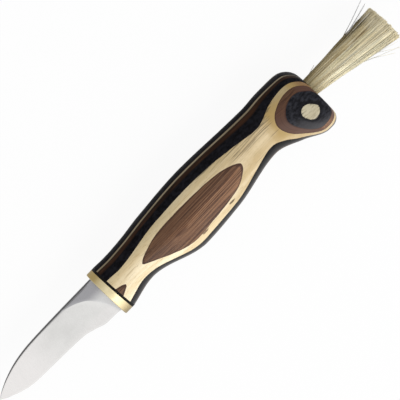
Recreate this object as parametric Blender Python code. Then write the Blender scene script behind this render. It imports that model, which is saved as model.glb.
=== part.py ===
"""Mushroom knife: a short fixed blade, a brass bolster, a carved handle of glued veneers and a bristle brush.

X runs along the knife from the tip to the brush, Y from the belly of the handle to the spine, and Z through
the thickness. The pieces are drawn about the front of the bolster, on the axis that the tang and the brush
share, and one empty then sets the knife down with its lowest point at the origin.
"""

import math
import random

import bmesh
import bpy
from mathutils import Vector

# Blade, in metres
BLADE_LENGTH = 0.060
BLADE_STOCK = 0.002
SPINE_HEIGHT = 0.0100
HEEL_DEPTH = 0.0085
TIP_HEIGHT = 0.0018
EDGE_THICKNESS = 0.0002
PLUNGE_LENGTH = 0.0163
PLUNGE_RUN = 0.0035

# Tang, the hidden end of the blade, and the wood left between its pocket and the bore for the brush
TANG_WIDTH = 0.008
TANG_POINT = 0.012
POCKET_END_ROOM = 0.002
POCKET_WALL = 0.0165

# Bolster and liner
BOLSTER_THICKNESS = 0.0034
BOLSTER_ROUND = 0.0004
# How much thicker the bolster is at the belly than at the spine
BOLSTER_FLARE = 0.0009
LINER_THICKNESS = 0.0011

# Handle, behind the liner
HANDLE_LENGTH = 0.1116
HANDLE_WIDTH = 0.0316
BUTT_SPINE_ROUND = 0.006
BUTT_BELLY_ROUND = 0.0045
BUTT_SIDE_ROUND = 0.0015

# Veneers, from the middle of the handle outwards
CORE_VENEER = 0.0045
LINE_VENEER = 0.00095
BROWN_VENEER = 0.0015
BLACK_VENEER = 0.00205
BLOND_VENEER = 0.00155
OUTER_BROWN_VENEER = 0.0016
OUTER_BLACK_VENEER = 0.00215

# How far the carved surface stands over a veneer's face, or cuts below it
NOSE_COVER = 0.00025
FRONT_NECK_CUT = 0.00022
BELLY_CUT = 0.0001
FLANK_COVER = 0.0008
FLANK_END_CUT = 0.0001
REAR_NECK_CUT = 0.0009
SHOULDER_FOOT_CUT = 0.00035
SHOULDER_COVER = 0.0015
CAP_COVER = 0.00055
BUTT_CUT = 0.00065

# Brush
BRISTLE_LENGTH = 0.0396
BORE_DIAMETER = 0.0088
BORE_DEPTH = 0.020
ROOT_DIAMETER = 0.0075
ROOT_RECESS = 0.0015
TUFT_WIDTH = 0.0166
TUFT_DROOP = 0.0036
STRAND_GAP = 0.00015
BINDING_LENGTH = 0.006
BINDING_SETBACK = 0.004
BRUSH_GLUE_LENGTH = 0.003

# Fits
GLUE_LINE = 0.0001
TANG_CLEARANCE = 0.00015
BED_THICKNESS = 0.0005
CUT_OVERRUN = 0.002

# Shape of the handle: place along it, and height over the axis or depth below it as a share of its width
spine_line_shares = ((0.0, 0.381), (0.044, 0.375), (0.125, 0.389), (0.246, 0.438), (0.449, 0.486),
                     (0.781, 0.444), (0.832, 0.453), (0.925, 0.440), (1.0, 0.380))
belly_line_shares = ((0.0, 0.340), (0.125, 0.251), (0.347, 0.463), (0.519, 0.421), (0.746, 0.281),
                     (0.85, 0.415), (0.944, 0.570), (1.0, 0.574))
# Places along the handle of the stretches that the carving covers and cuts
front_neck_share = 0.078
belly_share = 0.302
flank_share = 0.539
flank_end_share = 0.641
rear_neck_share = 0.758
shoulder_foot_share = 0.803
shoulder_share = 0.853
pommel_share = 0.934
# Where one island of the outer brown veneer would end if a thicker neck let it reach the next
nose_end_share = 0.09
belly_end_share = 0.76
# Powers of the handle's section, where 2 would be an oval; the belly side is squarer at the rear neck
DEPTH_POWER = 2.29
spine_power_shares = ((0.0, 1.68), (0.8, 1.68), (0.934, 1.52), (1.0, 1.52))
belly_power_shares = ((0.0, 1.7), (0.347, 1.75), (0.746, 2.4), (0.934, 1.75), (1.0, 1.75))

# Shape of the blade: place from the bolster to the tip, and share of the height left over the tip
blade_spine_shares = ((0.0, 1.0), (0.2, 0.998), (0.35, 0.99), (0.51, 0.968), (0.60, 0.94), (0.68, 0.878),
                      (0.76, 0.765), (0.85, 0.56), (0.93, 0.30), (1.0, 0.0))
blade_edge_shares = ((0.0, 1.0), (0.13, 0.985), (0.21, 0.83), (0.30, 0.685), (0.42, 0.635), (0.68, 0.59),
                     (0.77, 0.55), (0.85, 0.43), (0.93, 0.23), (1.0, 0.0))
# Place across the blade from the spine to the heel, and how far from the bolster the grind ends there
plunge_shares = ((0.0, 1.0), (0.12, 0.67), (0.26, 0.42), (0.43, 0.28), (0.7, 0.13), (1.0, 0.02))
# Thickness left at the spine, from the plunge to the tip
taper_shares = ((0.0, 1.0), (0.5, 0.92), (0.8, 0.62), (1.0, 0.0))
tang_end_share = 0.55

# Strands: how much shorter the outer ones are, how ragged the cut is, and how they wander and thin out
strand_rounding_share = 0.05
strand_ragged_share = 0.04
strand_wander_share = 0.3
strand_thinning_share = 0.2

# How finely the surfaces are divided
SECTION_POINTS = 32
HANDLE_STEPS = 38
BUTT_STEPS = 5
BORE_POINTS = 28
PLUNGE_STEPS = 4
BLADE_STEPS = 15
STRAND_RINGS = 8
STRAND_STEPS = 2

# Places that follow from the sizes
WOOD_FRONT = BOLSTER_THICKNESS + LINER_THICKNESS
BUTT = WOOD_FRONT + HANDLE_LENGTH
LINE_FACE = CORE_VENEER / 2
BROWN_FACE = LINE_FACE + LINE_VENEER
BLACK_FACE = BROWN_FACE + BROWN_VENEER
BLOND_FACE = BLACK_FACE + BLACK_VENEER
OUTER_BROWN_FACE = BLOND_FACE + BLOND_VENEER
OUTER_BLACK_FACE = OUTER_BROWN_FACE + OUTER_BROWN_VENEER
CAP_FACE = OUTER_BLACK_FACE + OUTER_BLACK_VENEER
POMMEL_CROWN = CAP_FACE + CAP_COVER
POCKET_LENGTH = BUTT - BORE_DEPTH - POCKET_WALL
TANG_LENGTH = POCKET_LENGTH - POCKET_END_ROOM

# The carved half thickness: each stretch is set by the veneer that it uncovers
half_thickness_places = (
    (0.0, OUTER_BROWN_FACE + NOSE_COVER),
    (front_neck_share, OUTER_BROWN_FACE - FRONT_NECK_CUT),
    (belly_share, OUTER_BLACK_FACE - BELLY_CUT),
    (flank_share, OUTER_BROWN_FACE + FLANK_COVER),
    (flank_end_share, OUTER_BROWN_FACE - FLANK_END_CUT),
    (rear_neck_share, OUTER_BROWN_FACE - REAR_NECK_CUT),
    (shoulder_foot_share, OUTER_BROWN_FACE - SHOULDER_FOOT_CUT),
    (shoulder_share, OUTER_BROWN_FACE + SHOULDER_COVER),
    (pommel_share, POMMEL_CROWN),
    (1.0, CAP_FACE - BUTT_CUT),
)

# Colour, roughness and metallic of each finish
finishes = {
    "steel": ((0.62, 0.63, 0.64), 0.25, 1.0),
    "pale_brass": ((0.80, 0.68, 0.42), 0.32, 1.0),
    "black_fibre": ((0.012, 0.011, 0.010), 0.55, 0.0),
    "black_wood": ((0.018, 0.015, 0.014), 0.38, 0.0),
    "pale_line_wood": ((0.24, 0.16, 0.085), 0.42, 0.0),
    "brown_wood": ((0.045, 0.018, 0.010), 0.40, 0.0),
    "blond_wood": ((0.62, 0.47, 0.29), 0.42, 0.0),
    "outer_brown_wood": ((0.17, 0.085, 0.048), 0.42, 0.0),
    "cap_wood": ((0.42, 0.36, 0.28), 0.40, 0.0),
    "clear_epoxy": ((0.55, 0.47, 0.30), 0.20, 0.0),
    "bristle": ((0.72, 0.60, 0.38), 0.60, 0.0),
    "binding_wire": ((0.55, 0.42, 0.20), 0.35, 1.0),
}


def curve_through(points):
    """A smooth curve through the points that never swings past them, as a function of the place."""
    places = [place for place, _ in points]
    values = [value for _, value in points]
    widths = [b - a for a, b in zip(places, places[1:])]
    slopes = [(b - a) / width for a, b, width in zip(values, values[1:], widths)]
    tangents = [slopes[0]]
    for before, after in zip(slopes, slopes[1:]):
        turns = before * after <= 0
        tangents.append(0.0 if turns else 2 * before * after / (before + after))
    tangents.append(slopes[-1])

    def value_at(place):
        place = min(max(place, places[0]), places[-1])
        span = max(i for i in range(len(widths)) if places[i] <= place)
        width = widths[span]
        t = (place - places[span]) / width
        rise = (3 - 2 * t) * t * t
        bend = t * (1 - t) * width * ((1 - t) * tangents[span] - t * tangents[span + 1])
        return values[span] * (1 - rise) + values[span + 1] * rise + bend

    return value_at


spine_line = curve_through(spine_line_shares)
belly_line = curve_through(belly_line_shares)
spine_power = curve_through(spine_power_shares)
belly_power = curve_through(belly_power_shares)
half_thickness = curve_through(half_thickness_places)
blade_spine = curve_through(blade_spine_shares)
blade_edge = curve_through(blade_edge_shares)
plunge_line = curve_through(plunge_shares)
blade_taper = curve_through(taper_shares)


def make_material(name):
    colour, roughness, metallic = finishes[name]
    material = bpy.data.materials.new(name)
    material.use_nodes = True
    shader = material.node_tree.nodes["Principled BSDF"]
    shader.inputs["Base Color"].default_value = (*colour, 1.0)
    shader.inputs["Roughness"].default_value = roughness
    shader.inputs["Metallic"].default_value = metallic
    material.diffuse_color = (*colour, 1.0)
    return material


def finish_mesh(name, bm, parent, material=None, smooth_angle=math.radians(35)):
    """Turns a closed bmesh into an object; one with no material is a cutter, kept as a wire guide."""
    bmesh.ops.recalc_face_normals(bm, faces=bm.faces)
    mesh = bpy.data.meshes.new(name)
    bm.to_mesh(mesh)
    bm.free()
    body = bpy.data.objects.new(name, mesh)
    bpy.context.scene.collection.objects.link(body)
    body.parent = parent
    if material is None:
        body.hide_render = True
        body.display_type = "WIRE"
    else:
        mesh.materials.append(material)
        mesh.shade_smooth()
        mesh.set_sharp_from_angle(angle=smooth_angle)
    return body


def cut_out(body, cutter):
    """Cuts the cutter's shape out of the body."""
    modifier = body.modifiers.new("cut " + cutter.name, "BOOLEAN")
    modifier.operation = "DIFFERENCE"
    modifier.solver = "EXACT"
    modifier.object = cutter


def loft(bm, rings):
    """Joins equal rings of places into one closed skin with flat ends."""
    loops = [[bm.verts.new(place) for place in ring] for ring in rings]
    count = len(loops[0])
    for front, back in zip(loops, loops[1:]):
        for i in range(count):
            j = (i + 1) % count
            bm.faces.new((front[i], front[j], back[j], back[i]))
    bm.faces.new(loops[0])
    bm.faces.new(reversed(loops[-1]))


def power_round(value, power):
    """Keeps the sign of a sine or cosine and bends its size, for a section between oval and square."""
    return math.copysign(abs(value) ** (2 / power), value)


def drawn_in(x, radius):
    """How far a rounded corner of the butt has drawn the outline in at x."""
    reach = min(max(x - BUTT + radius, 0.0) / radius, 1.0)
    return radius * (1 - math.sqrt(1 - reach * reach))


def leaned(x, y):
    """The place along the knife of a face that leans with the bolster's back, at the height y."""
    front_height = (spine_line(0.0) + belly_line(0.0)) * HANDLE_WIDTH
    return x - BOLSTER_FLARE * y / front_height


def handle_section(x, inset=0.0):
    """The handle's outline at x, drawn in by the inset all round and by the butt's rounded corners."""
    share = max(x - WOOD_FRONT, 0.0) / HANDLE_LENGTH
    top = spine_line(share) * HANDLE_WIDTH - inset - drawn_in(x, BUTT_SPINE_ROUND)
    bottom = -belly_line(share) * HANDLE_WIDTH + inset + drawn_in(x, BUTT_BELLY_ROUND)
    depth = half_thickness(share) - inset - drawn_in(x, BUTT_SIDE_ROUND)
    middle = (top + bottom) / 2
    reach = (top - bottom) / 2
    ring = []
    for i in range(SECTION_POINTS):
        turn = 2 * math.pi * i / SECTION_POINTS
        across = math.cos(turn)
        power = spine_power(share) if across > 0 else belly_power(share)
        y = middle + reach * power_round(across, power)
        z = depth * power_round(math.sin(turn), DEPTH_POWER)
        ring.append((y, z))
    return ring


def handle_rings():
    """The whole carved handle: even steps from the leaning front, then ever closer steps to the flat butt."""
    front = WOOD_FRONT + GLUE_LINE
    straight_end = BUTT - BUTT_SPINE_ROUND
    rings = [[(leaned(front, y), y, z) for y, z in handle_section(front)]]
    for step in range(1, HANDLE_STEPS + 1):
        x = front + (straight_end - front) * step / HANDLE_STEPS
        rings.append([(x, y, z) for y, z in handle_section(x)])
    for step in range(1, BUTT_STEPS + 1):
        x = straight_end + BUTT_SPINE_ROUND * math.sin(math.pi / 2 * step / BUTT_STEPS)
        rings.append([(x, y, z) for y, z in handle_section(x)])
    return rings


def keep_between(bm, axis, low, high):
    """Saws the body off at two planes across an axis and closes the sawn faces."""
    for level, outward in ((low, -1), (high, 1)):
        normal = Vector()
        normal[axis] = outward
        point = Vector()
        point[axis] = level
        everything = bm.verts[:] + bm.edges[:] + bm.faces[:]
        cut = bmesh.ops.bisect_plane(
            bm, geom=everything, plane_co=point, plane_no=normal, clear_outer=True, dist=GLUE_LINE / 1000
        )
        edges = [part for part in cut["geom_cut"] if isinstance(part, bmesh.types.BMEdge)]
        for edge in edges:
            for vert in edge.verts:
                vert.co[axis] = level
        if edges:
            bmesh.ops.edgeloop_fill(bm, edges=edges)


def add_veneer(name, skin, finish, parent, inner, outer, side, ends=None):
    """One veneer of the handle: the carved block between two glue lines, on one side of the middle."""
    bm = skin.copy()
    low = inner + GLUE_LINE / 2
    high = outer - GLUE_LINE / 2
    if ends:
        keep_between(bm, 0, *ends)
    if side > 0:
        keep_between(bm, 2, low, high)
    else:
        keep_between(bm, 2, -high, -low)
    return finish_mesh(name, bm, parent, make_material(finish))


def tang_stations(room):
    """The tang's outline, grown all round by the room, from the bolster's front to its point."""
    half_width = TANG_WIDTH / 2
    half_stock = BLADE_STOCK / 2
    shoulder = TANG_LENGTH - TANG_POINT
    return [
        (0.0, half_width + room, half_stock + room),
        (shoulder, half_width + room, half_stock + room),
        (TANG_LENGTH + room, half_width * tang_end_share + room, half_stock * tang_end_share + room),
    ]


def box_rings(stations):
    """Rectangular rings from a list of (x, half width, half thickness)."""
    corners = ((1, 1), (-1, 1), (-1, -1), (1, -1))
    return [[(x, y * width, z * depth) for y, z in corners] for x, width, depth in stations]


def round_rings(radius, front, back):
    """Two round rings on the knife's axis."""
    turns = [2 * math.pi * i / BORE_POINTS for i in range(BORE_POINTS)]
    return [[(x, radius * math.cos(turn), radius * math.sin(turn)) for turn in turns] for x in (front, back)]


def add_box(name, stations, parent, material=None):
    bm = bmesh.new()
    loft(bm, box_rings(stations))
    return finish_mesh(name, bm, parent, material)


def add_round(name, radius, front, back, parent, material=None):
    bm = bmesh.new()
    loft(bm, round_rings(radius, front, back))
    return finish_mesh(name, bm, parent, material)


def blade_half_thickness(place, across, ground):
    """Half the blade's thickness: a flat grind from the spine to the edge, which starts in a hollow ramp."""
    edge = EDGE_THICKNESS / 2
    spine = edge + (BLADE_STOCK / 2 - edge) * blade_taper(place)
    wedge = spine + (edge - spine) * across
    ramp = max(1 - ground / PLUNGE_RUN, 0.0) ** 2
    return wedge + (BLADE_STOCK / 2 - wedge) * ramp


def blade_columns():
    """Columns of points across one side of the blade, from the bolster to just short of the tip."""
    width = SPINE_HEIGHT + HEEL_DEPTH
    tang_top = (SPINE_HEIGHT - TANG_WIDTH / 2) / width
    tang_bottom = (SPINE_HEIGHT + TANG_WIDTH / 2) / width
    rows = [0.0, tang_top / 2, tang_top, (tang_top * 2 + tang_bottom) / 3, (tang_top + tang_bottom * 2) / 3]
    rows += [tang_bottom, (tang_bottom * 2 + 1) / 3, (tang_bottom + 2) / 3, 1.0]
    ground_steps = [PLUNGE_RUN * step / PLUNGE_STEPS for step in range(PLUNGE_STEPS)]
    rest = BLADE_LENGTH - PLUNGE_RUN
    ground_steps += [PLUNGE_RUN + rest * step / BLADE_STEPS for step in range(BLADE_STEPS)]

    def point(along, across, half):
        place = along / BLADE_LENGTH
        top = TIP_HEIGHT + (SPINE_HEIGHT - TIP_HEIGHT) * blade_spine(place)
        bottom = TIP_HEIGHT - (HEEL_DEPTH + TIP_HEIGHT) * blade_edge(place)
        return (-along, top + (bottom - top) * across, half)

    columns = [[point(0.0, across, BLADE_STOCK / 2) for across in rows]]
    for ground in ground_steps:
        column = []
        for across in rows:
            lead = plunge_line(across) * PLUNGE_LENGTH
            along = lead + ground * (1 - lead / BLADE_LENGTH)
            half = blade_half_thickness(along / BLADE_LENGTH, across, ground)
            column.append(point(along, across, half))
        columns.append(column)
    return columns, rows.index(tang_top), rows.index(tang_bottom)


def add_blade(parent):
    """Blade and tang in one piece: two ground sides, the spine and edge strips, and the tang drawn out."""
    columns, tang_first, tang_last = blade_columns()
    bm = bmesh.new()
    left = [[bm.verts.new(place) for place in column] for column in columns]
    right = [[bm.verts.new((x, y, -z)) for x, y, z in column] for column in columns]
    last = len(columns[0]) - 1
    for this, following, back, back_following in zip(left, left[1:], right, right[1:]):
        for row in range(last):
            bm.faces.new((this[row], this[row + 1], following[row + 1], following[row]))
            bm.faces.new((back[row], back_following[row], back_following[row + 1], back[row + 1]))
        for row in (0, last):
            bm.faces.new((this[row], following[row], back_following[row], back[row]))
    tip_half = EDGE_THICKNESS / 2
    tip_left = bm.verts.new((-BLADE_LENGTH, TIP_HEIGHT, tip_half))
    tip_right = bm.verts.new((-BLADE_LENGTH, TIP_HEIGHT, -tip_half))
    for row in range(last):
        bm.faces.new((left[-1][row], left[-1][row + 1], tip_left))
        bm.faces.new((right[-1][row + 1], right[-1][row], tip_right))
    for row in (0, last):
        bm.faces.new((left[-1][row], tip_left, tip_right, right[-1][row]))
    shoulder = []
    for row in range(last):
        face = bm.faces.new((left[0][row], right[0][row], right[0][row + 1], left[0][row + 1]))
        if tang_first <= row < tang_last:
            shoulder.append(face)
    bmesh.ops.recalc_face_normals(bm, faces=bm.faces)
    stations = tang_stations(0.0)
    for (before, *old), (after, *new) in zip(stations, stations[1:]):
        drawn = bmesh.ops.extrude_face_region(bm, geom=shoulder)["geom"]
        bmesh.ops.delete(bm, geom=shoulder, context="FACES")
        shoulder = [part for part in drawn if isinstance(part, bmesh.types.BMFace)]
        ends = {vert for face in shoulder for vert in face.verts}
        for vert in ends:
            vert.co.x += after - before
            vert.co.y *= new[0] / old[0]
            vert.co.z *= new[1] / old[1]
    body = finish_mesh("blade", bm, parent, make_material("steel"), math.radians(20))
    body.location.x = -GLUE_LINE
    return body


def add_bolster(parent):
    """The brass plate: a square front with its rim rounded over, and a back that leans with the handle."""
    stations = ((0.0, BOLSTER_ROUND), (BOLSTER_ROUND / 3, BOLSTER_ROUND / 3), (BOLSTER_ROUND, 0.0))
    rings = [[(x, y, z) for y, z in handle_section(0.0, inset)] for x, inset in stations]
    rings.append([(leaned(BOLSTER_THICKNESS, y), y, z) for y, z in handle_section(0.0)])
    bm = bmesh.new()
    loft(bm, rings)
    return finish_mesh("bolster", bm, parent, make_material("pale_brass"))


def add_liner(parent):
    bm = bmesh.new()
    faces = (BOLSTER_THICKNESS + GLUE_LINE, WOOD_FRONT)
    loft(bm, [[(leaned(x, y), y, z) for y, z in handle_section(0.0)] for x in faces])
    return finish_mesh("black_liner", bm, parent, make_material("black_fibre"))


def add_tang_epoxy(parent, width, depth):
    """The bed of glue: a block that fills the pocket, from the leaning liner to the pocket's end."""
    stations = [(WOOD_FRONT + GLUE_LINE, width, depth), (POCKET_LENGTH - GLUE_LINE, width, depth)]
    front, back = box_rings(stations)
    bm = bmesh.new()
    loft(bm, [[(leaned(x, y), y, z) for x, y, z in front], back])
    return finish_mesh("tang_epoxy", bm, parent, make_material("clear_epoxy"))


def strand_place(root, share, length):
    """Where a strand that starts at the root's place has got to, at a share of its length."""
    spread = 1 + (TUFT_WIDTH / ROOT_DIAMETER - 1) * share
    x = root.x + length * share
    y = root.y * spread - TUFT_DROOP * share
    return Vector((x, y, root.z * spread))


def add_tuft(parent):
    """The bristles: a round root slice, divided into three-sided cells that are each drawn out as a strand."""
    chance = random.Random(12)
    root_back = BUTT - BORE_DEPTH + BRUSH_GLUE_LENGTH + GLUE_LINE * 2
    root_front = BUTT - ROOT_RECESS
    radius = ROOT_DIAMETER / 2
    bm = bmesh.new()
    rings = [[bm.verts.new((root_front, 0.0, 0.0))]]
    for ring in range(1, STRAND_RINGS + 1):
        turns = [2 * math.pi * i / (6 * ring) for i in range(6 * ring)]
        reach = radius * ring / STRAND_RINGS
        rings.append([bm.verts.new((root_front, reach * math.cos(t), reach * math.sin(t))) for t in turns])
    cells = []
    for ring in range(1, STRAND_RINGS + 1):
        inner, outer = rings[ring - 1], rings[ring]
        for sector in range(6):
            for i in range(ring):
                near = inner[(sector * (ring - 1) + i) % len(inner)]
                out = outer[sector * ring + i]
                following = outer[(sector * ring + i + 1) % len(outer)]
                cells.append(bm.faces.new((near, out, following)))
                if i < ring - 1:
                    beside = inner[(sector * (ring - 1) + i + 1) % len(inner)]
                    cells.append(bm.faces.new((near, following, beside)))
    rim = rings[-1]
    back = [bm.verts.new((root_back, vert.co.y, vert.co.z)) for vert in rim]
    for i, vert in enumerate(rim):
        j = (i + 1) % len(rim)
        bm.faces.new((vert, back[i], back[j], rim[j]))
    bm.faces.new(back)
    bmesh.ops.recalc_face_normals(bm, faces=bm.faces)
    bmesh.ops.inset_individual(bm, faces=cells, thickness=STRAND_GAP / 2, use_even_offset=True)
    pitch = radius / STRAND_RINGS
    for face in cells:
        root = face.calc_center_median()
        edge_share = Vector((root.y, root.z)).length / radius
        shortfall = strand_rounding_share * edge_share ** 3 + chance.uniform(0.0, strand_ragged_share)
        length = ROOT_RECESS + BRISTLE_LENGTH * (1 - shortfall)
        for step in range(1, STRAND_STEPS + 1):
            share = step / STRAND_STEPS
            centre = face.calc_center_median()
            wander = pitch * strand_wander_share * share
            drift = Vector((0.0, chance.uniform(-wander, wander), chance.uniform(-wander, wander)))
            target = strand_place(root, share, length) + drift
            face = bmesh.ops.extrude_discrete_faces(bm, faces=[face])["faces"][0]
            for vert in face.verts:
                vert.co = target + (vert.co - centre) * (1 - strand_thinning_share * share)
    return finish_mesh("brush_tuft", bm, parent, make_material("bristle"), math.radians(60))


def add_ring(name, outer, inner, front, back, parent, material):
    """A plain band on the knife's axis."""
    turns = [2 * math.pi * i / BORE_POINTS for i in range(BORE_POINTS)]
    corners = ((front, outer), (back, outer), (back, inner), (front, inner))
    bm = bmesh.new()
    loops = [[bm.verts.new((x, r * math.cos(t), r * math.sin(t))) for x, r in corners] for t in turns]
    for i, loop in enumerate(loops):
        following = loops[(i + 1) % len(loops)]
        for corner in range(4):
            other = (corner + 1) % 4
            bm.faces.new((loop[corner], loop[other], following[other], following[corner]))
    return finish_mesh(name, bm, parent, material)


def set_down(parent):
    """Moves the whole knife so that the origin is under its middle, at its lowest point."""
    places = [vert.co for body in parent.children if not body.hide_render for vert in body.data.vertices]
    low = [min(place[axis] for place in places) for axis in range(3)]
    high = [max(place[axis] for place in places) for axis in range(3)]
    parent.location = (-(low[0] + high[0]) / 2, -(low[1] + high[1]) / 2, -low[2])


def build():
    for old in list(bpy.data.objects):
        bpy.data.objects.remove(old, do_unlink=True)
    knife = bpy.data.objects.new("knife", None)
    bpy.context.scene.collection.objects.link(knife)

    slot_width = TANG_WIDTH / 2 + TANG_CLEARANCE
    slot_depth = BLADE_STOCK / 2 + TANG_CLEARANCE
    slot = add_box("tang_slot_cutter", [(-CUT_OVERRUN, slot_width, slot_depth),
                                        (WOOD_FRONT + CUT_OVERRUN, slot_width, slot_depth)], knife)
    pocket_width = TANG_WIDTH / 2 + BED_THICKNESS
    pocket_depth = BLADE_STOCK / 2 + BED_THICKNESS
    pocket = add_box("tang_pocket_cutter", [(WOOD_FRONT - CUT_OVERRUN, pocket_width, pocket_depth),
                                            (POCKET_LENGTH, pocket_width, pocket_depth)], knife)
    bore = add_round("brush_bore_cutter", BORE_DIAMETER / 2, BUTT - BORE_DEPTH, BUTT + CUT_OVERRUN, knife)
    tang_room = add_box("tang_room_cutter", tang_stations(GLUE_LINE), knife)

    add_blade(knife)
    cut_out(add_bolster(knife), slot)
    cut_out(add_liner(knife), slot)
    epoxy = add_tang_epoxy(knife, pocket_width - GLUE_LINE, pocket_depth - GLUE_LINE)
    cut_out(epoxy, tang_room)

    skin = bmesh.new()
    loft(skin, handle_rings())
    core = skin.copy()
    keep_between(core, 2, -LINE_FACE + GLUE_LINE / 2, LINE_FACE - GLUE_LINE / 2)
    core = finish_mesh("core_veneer", core, knife, make_material("black_wood"))
    cut_out(core, pocket)
    cut_out(core, bore)

    nose_end = WOOD_FRONT + HANDLE_LENGTH * nose_end_share
    belly_end = WOOD_FRONT + HANDLE_LENGTH * belly_end_share
    nose = (0.0, nose_end - GLUE_LINE)
    belly = (nose_end + GLUE_LINE, belly_end - GLUE_LINE)
    pommel = (belly_end + GLUE_LINE, BUTT + CUT_OVERRUN)
    veneers = (
        ("pale_line", "pale_line_wood", LINE_FACE, BROWN_FACE, None),
        ("brown_veneer", "brown_wood", BROWN_FACE, BLACK_FACE, None),
        ("black_veneer", "black_wood", BLACK_FACE, BLOND_FACE, None),
        ("blond_veneer", "blond_wood", BLOND_FACE, OUTER_BROWN_FACE, None),
        ("brown_nose", "outer_brown_wood", OUTER_BROWN_FACE, OUTER_BLACK_FACE, nose),
        ("brown_belly", "outer_brown_wood", OUTER_BROWN_FACE, OUTER_BLACK_FACE, belly),
        ("brown_pommel", "outer_brown_wood", OUTER_BROWN_FACE, OUTER_BLACK_FACE, pommel),
        ("black_pommel", "black_wood", OUTER_BLACK_FACE, CAP_FACE, pommel),
        ("pommel_cap", "cap_wood", CAP_FACE, POMMEL_CROWN + CUT_OVERRUN, pommel),
    )
    for word, side in (("left", 1), ("right", -1)):
        for part, finish, inner, outer, ends in veneers:
            body = add_veneer(f"{word}_{part}", skin, finish, knife, inner, outer, side, ends)
            if inner < BORE_DIAMETER / 2:
                cut_out(body, bore)
    skin.free()

    add_tuft(knife)
    glue_radius = BORE_DIAMETER / 2 - GLUE_LINE
    glue_back = BUTT - BORE_DEPTH + GLUE_LINE
    add_round("brush_glue", glue_radius, glue_back, glue_back + BRUSH_GLUE_LENGTH - GLUE_LINE, knife,
              make_material("clear_epoxy"))
    binding_back = BUTT - BINDING_SETBACK
    add_ring("tuft_binding", glue_radius, ROOT_DIAMETER / 2 + GLUE_LINE, binding_back - BINDING_LENGTH,
             binding_back, knife, make_material("binding_wire"))
    set_down(knife)


build()
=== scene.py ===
"""A mushroom knife on a pale table: ground blade, brass bolster, carved handle of veneers, bristle brush.

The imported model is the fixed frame. The blade, the bolster, the liner, the veneers and the bristles are made
again here with finer skins and stand for their nodes. They are drawn about the front of the bolster, on the
axis of the tang and the brush, and are then set over the frame. Lengths are in metres.
"""

import math
import random
from collections import namedtuple

import bmesh
import bpy
from mathutils import Matrix, Vector, noise


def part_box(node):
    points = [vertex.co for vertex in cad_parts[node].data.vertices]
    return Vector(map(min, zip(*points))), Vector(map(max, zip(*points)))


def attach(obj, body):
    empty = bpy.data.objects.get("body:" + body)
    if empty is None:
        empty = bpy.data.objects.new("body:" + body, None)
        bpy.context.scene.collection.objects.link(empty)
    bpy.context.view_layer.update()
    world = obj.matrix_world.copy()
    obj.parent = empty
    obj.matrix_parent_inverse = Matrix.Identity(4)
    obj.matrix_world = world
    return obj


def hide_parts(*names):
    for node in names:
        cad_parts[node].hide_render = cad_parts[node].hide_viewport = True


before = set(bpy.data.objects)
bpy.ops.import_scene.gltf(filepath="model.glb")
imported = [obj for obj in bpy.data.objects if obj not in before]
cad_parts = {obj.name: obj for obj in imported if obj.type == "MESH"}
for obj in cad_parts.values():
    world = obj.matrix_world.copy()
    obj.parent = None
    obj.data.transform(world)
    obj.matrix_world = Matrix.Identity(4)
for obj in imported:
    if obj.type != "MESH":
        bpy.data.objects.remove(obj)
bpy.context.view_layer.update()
bpy.ops.object.select_all(action="DESELECT")

# Where the front of the bolster and the axis of the brush are in the frame
bolster_low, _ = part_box("bolster")
binding_low, binding_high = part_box("tuft_binding")
binding_middle = (binding_low + binding_high) / 2
AXIS = Vector((bolster_low.x, binding_middle.y, binding_middle.z))

# Blade
BLADE_LENGTH = 0.060
BLADE_STOCK = 0.002
SPINE_HEIGHT = 0.0100
HEEL_DEPTH = 0.0085
TIP_HEIGHT = 0.0018
EDGE_THICKNESS = 0.0002
KEEN_THICKNESS = 0.00004
PLUNGE_LENGTH = 0.0163
PLUNGE_RUN = 0.0035
SPINE_EASE = 0.00012

# Tang and its pocket
TANG_WIDTH = 0.008
TANG_POINT = 0.012
TANG_POINT_SHARE = 0.55
TANG_CLEARANCE = 0.00015
BED_THICKNESS = 0.0005
POCKET_WALL = 0.0165
POCKET_END_ROOM = 0.002

# Bolster and liner
BOLSTER_THICKNESS = 0.0034
BOLSTER_ROUND = 0.00045
BOLSTER_FLARE = 0.0009
LINER_THICKNESS = 0.0011

# Handle
HANDLE_LENGTH = 0.1116
HANDLE_WIDTH = 0.0316
BUTT_SPINE_ROUND = 0.006
BUTT_BELLY_ROUND = 0.0045
BUTT_SIDE_ROUND = 0.0015
LONG_SANDING_WAVE = 0.000045
SHORT_SANDING_WAVE = 0.00003

# Veneers, from the middle outwards
CORE_VENEER = 0.0045
LINE_VENEER = 0.00095
BROWN_VENEER = 0.0015
BLACK_VENEER = 0.00205
BLOND_VENEER = 0.00155
OUTER_BROWN_VENEER = 0.0016
OUTER_BLACK_VENEER = 0.00215

# How far the carving leaves wood over a glue face, or cuts below it
NOSE_COVER = 0.00025
FRONT_NECK_CUT = 0.00022
BELLY_CUT = 0.0001
FLANK_COVER = 0.0008
FLANK_END_CUT = 0.0001
REAR_NECK_CUT = 0.0009
SHOULDER_FOOT_CUT = 0.00035
SHOULDER_COVER = 0.0015
CAP_COVER = 0.00055
BUTT_CUT = 0.00065

# Brush
BRISTLE_LENGTH = 0.0403
BRISTLE_THICKNESS = 0.00021
BORE_DIAMETER = 0.0088
BORE_DEPTH = 0.020
ROOT_DIAMETER = 0.0075
TUFT_WIDTH = 0.0166
TUFT_DROOP = 0.0036
# How deep in the bore the drawn bristles and strays start
BRISTLE_START = 0.012
STRAY_START = 0.004
# How far clumps stand out of line, lean away and swing, and bristles wave and splay
CLUMP_SCATTER = 0.00007
CLUMP_DRIFT = 0.0002
CLUMP_SWING = 0.0002
BRISTLE_WAVE = 0.0001
BRISTLE_SPLAY = 0.00006

# Width of a glue line, how far a cut runs past the wood, and how near two points are merged
GLUE_LINE = 0.0001
CUT_OVERRUN = 0.002
MERGE_DISTANCE = 1e-7

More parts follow.
